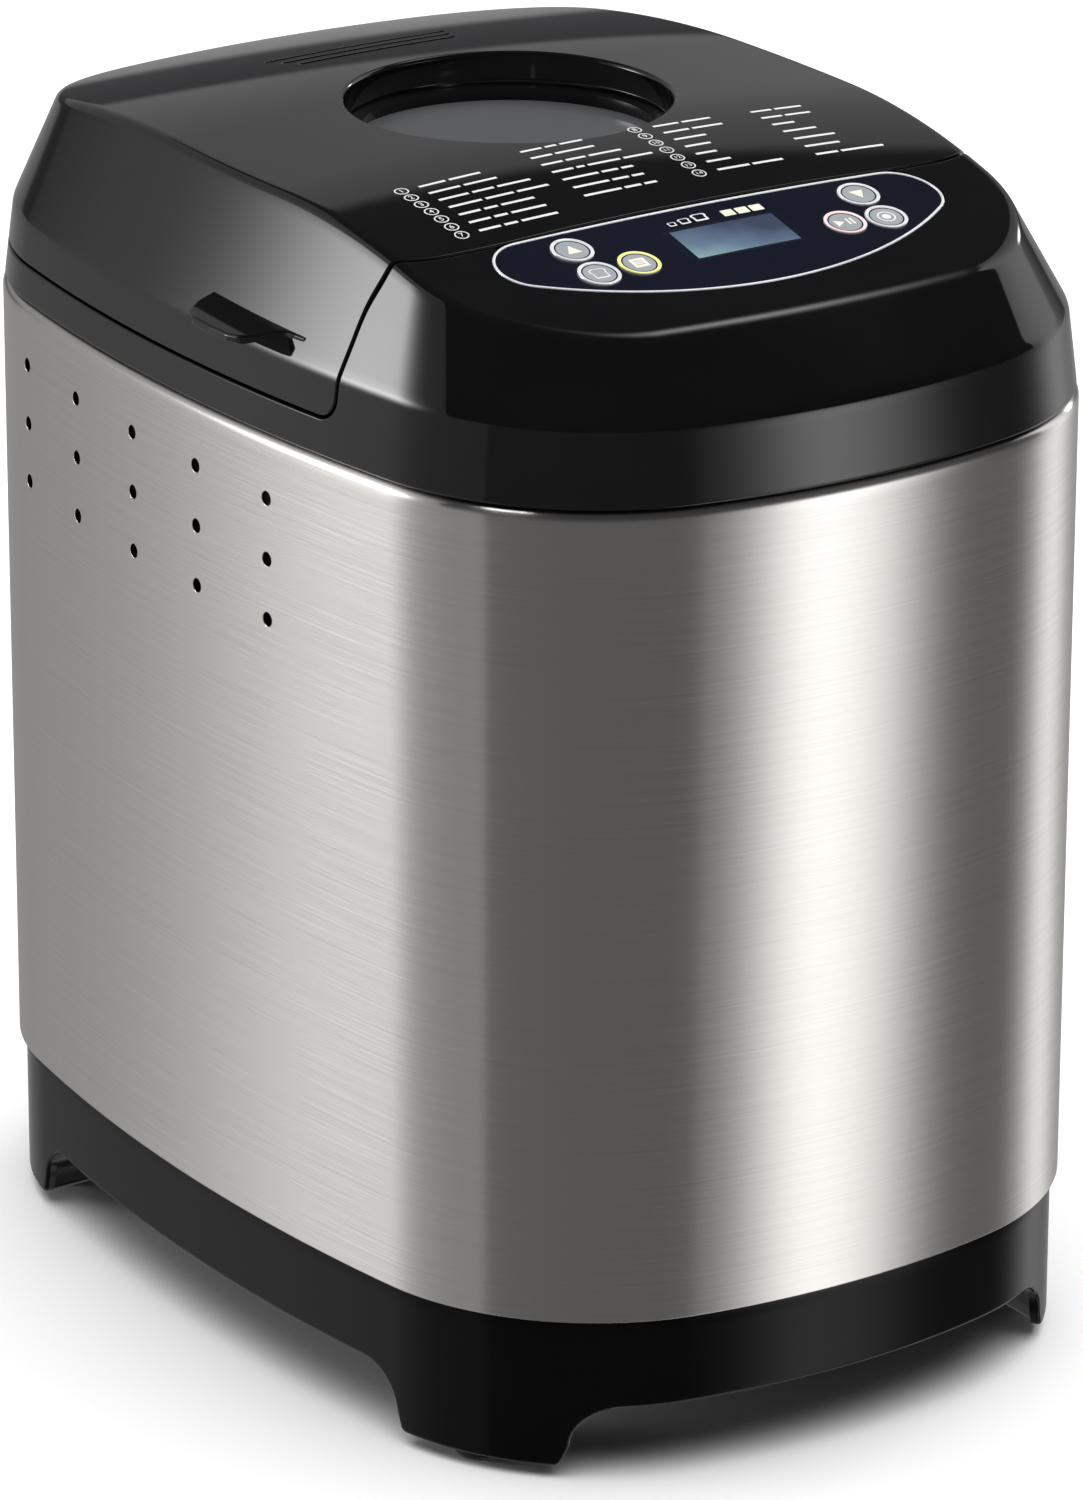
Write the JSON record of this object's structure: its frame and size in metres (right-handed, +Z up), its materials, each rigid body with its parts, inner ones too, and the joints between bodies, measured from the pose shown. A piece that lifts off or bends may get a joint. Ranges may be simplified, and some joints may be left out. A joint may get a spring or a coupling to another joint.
{
  "type": "bread machine",
  "caption": "Domestic bread machine: steel body, hinged lid with viewing window, lift-out pan and paddle driven by belt, control panel with push buttons.",
  "frame": {"origin": "centre of the footprint at the table surface, under the rubber feet", "axes": "+Z up, -Y towards the control panel (front), +X to the right as seen from the front"},
  "size_m": [0.2316, 0.31, 0.3262],
  "materials": {
    "gloss_black": "high gloss moulded black",
    "satin_black": "semi gloss moulded black",
    "stainless": "fine horizontal brushing",
    "rubber_black": "matte",
    "window": "clear tempered",
    "trim_silver": "bright",
    "panel_navy": "gloss printed sheet",
    "display": "clear lens over a blue green display",
    "button_grey": "translucent grey",
    "pcb_green": "solder mask",
    "component_black": "moulded",
    "zinc_steel": "zinc plated sheet",
    "oven_steel": "aluminised sheet",
    "liner_alu": "satin",
    "silicone": "satin",
    "bright_steel": "turned",
    "heater_black": "oxidised sheath",
    "ceramic": "unglazed",
    "nonstick": "dark non-stick coating",
    "bronze": "sintered",
    "belt_rubber": "matte",
    "pulley_white": "moulded",
    "laminations": "laminated",
    "cast_alu": "cast"
  },
  "bodies": {
    "housing": {"base": "satin_black", "rubber_feet": "rubber_black", "cord_gland": "component_black", "steel_wrap": "stainless", "top_frame": "gloss_black", "panel_trim": "trim_silver", "panel_overlay": "panel_navy", "lcd_lens": "display", "tact_switches": "component_black", "control_board": "pcb_green", "lcd_module": "component_black", "hinge_pins": "bright_steel", "oven_chamber": "oven_steel", "pan_seat": "zinc_steel", "pan_clips": "zinc_steel", "heater": "heater_black", "heater_insulators": "ceramic", "heater_clips": "zinc_steel", "temp_sensor": "bright_steel", "thermal_fuse": "ceramic", "chassis_plate": "zinc_steel", "chassis_posts": "zinc_steel", "chassis_screws": "bright_steel", "oven_spacers": "ceramic", "motor_screws": "bright_steel", "bearing_housing": "cast_alu", "shaft_bushes": "bronze", "drive_belt": "belt_rubber", "motor_stator": "laminations", "motor_bells": "cast_alu", "run_capacitor": "component_black", "power_board": "pcb_green", "power_parts": "component_black"},
    "lid": {"lid_shell": "gloss_black", "lid_liner": "liner_alu", "lid_seal": "silicone", "liner_screws": "bright_steel", "window_glass": "window", "window_gasket": "silicone"},
    "drive": {"drive_shaft": "bright_steel", "drive_coupling": "cast_alu", "drive_pulley": "pulley_white", "pulley_nut": "zinc_steel"},
    "motor": {"motor_rotor": "bright_steel", "motor_pulley": "bright_steel"},
    "pan": {"bread_pan": "nonstick", "pan_bush": "bronze"},
    "pan_spindle": {"pan_shaft": "bright_steel"},
    "handle": {"pan_handle": "bright_steel"},
    "paddle": {"kneading_paddle": "nonstick"},
    "button_up_body": {"button_up": "button_grey"},
    "button_loaf_body": {"button_loaf": "button_grey"},
    "button_menu_body": {"button_menu": "button_grey"},
    "button_down_body": {"button_down": "button_grey"},
    "button_crust_body": {"button_crust": "button_grey"},
    "button_start_body": {"button_start": "button_grey"}
  },
  "joints": [
    {"name": "lid_hinge", "type": "hinge", "parent": "housing", "child": "lid", "pos_m": [0, 0.139, 0.2795], "axis": [-1, 0, 0], "range_deg": [0, 78]},
    {"name": "pan_lift", "type": "slide", "parent": "housing", "child": "pan", "axis": [0, 0, 1], "range_m": [0, 0.028]},
    {"name": "handle_swing", "type": "hinge", "parent": "pan", "child": "handle", "pos_m": [0, 0.026, 0.241], "axis": [1, 0, 0], "range_deg": [0, 26]},
    {"name": "drive_spin", "type": "hinge", "parent": "housing", "child": "drive", "pos_m": [0, 0.026, 0.08], "axis": [0, 0, 1], "continuous": true},
    {"name": "motor_spin", "type": "hinge", "parent": "housing", "child": "motor", "pos_m": [0, -0.104, 0.08], "axis": [0, 0, 1], "continuous": true},
    {"name": "spindle_spin", "type": "hinge", "parent": "pan", "child": "pan_spindle", "pos_m": [0, 0.026, 0.12], "axis": [0, 0, 1], "continuous": true},
    {"name": "paddle_lift", "type": "slide", "parent": "pan_spindle", "child": "paddle", "axis": [0, 0, 1], "range_m": [0, 0.08]},
    {"name": "button_up_press", "type": "slide", "parent": "housing", "child": "button_up_body", "axis": [0, 0.236, -0.9718], "range_m": [0, 0.0008], "stiffness_N_per_m": 500, "springref_m": -0.0006},
    {"name": "button_loaf_press", "type": "slide", "parent": "housing", "child": "button_loaf_body", "axis": [0, 0.236, -0.9718], "range_m": [0, 0.0008], "stiffness_N_per_m": 500, "springref_m": -0.0006},
    {"name": "button_menu_press", "type": "slide", "parent": "housing", "child": "button_menu_body", "axis": [0, 0.236, -0.9718], "range_m": [0, 0.0008], "stiffness_N_per_m": 500, "springref_m": -0.0006},
    {"name": "button_down_press", "type": "slide", "parent": "housing", "child": "button_down_body", "axis": [0, 0.236, -0.9718], "range_m": [0, 0.0008], "stiffness_N_per_m": 500, "springref_m": -0.0006},
    {"name": "button_crust_press", "type": "slide", "parent": "housing", "child": "button_crust_body", "axis": [0, 0.236, -0.9718], "range_m": [0, 0.0008], "stiffness_N_per_m": 500, "springref_m": -0.0006},
    {"name": "button_start_press", "type": "slide", "parent": "housing", "child": "button_start_body", "axis": [0, 0.236, -0.9718], "range_m": [0, 0.0008], "stiffness_N_per_m": 500, "springref_m": -0.0006}
  ],
  "couplings": [
    {"joint": "motor_spin", "follows": "drive_spin", "ratio": 5.625},
    {"joint": "spindle_spin", "follows": "drive_spin", "ratio": 1}
  ]
}
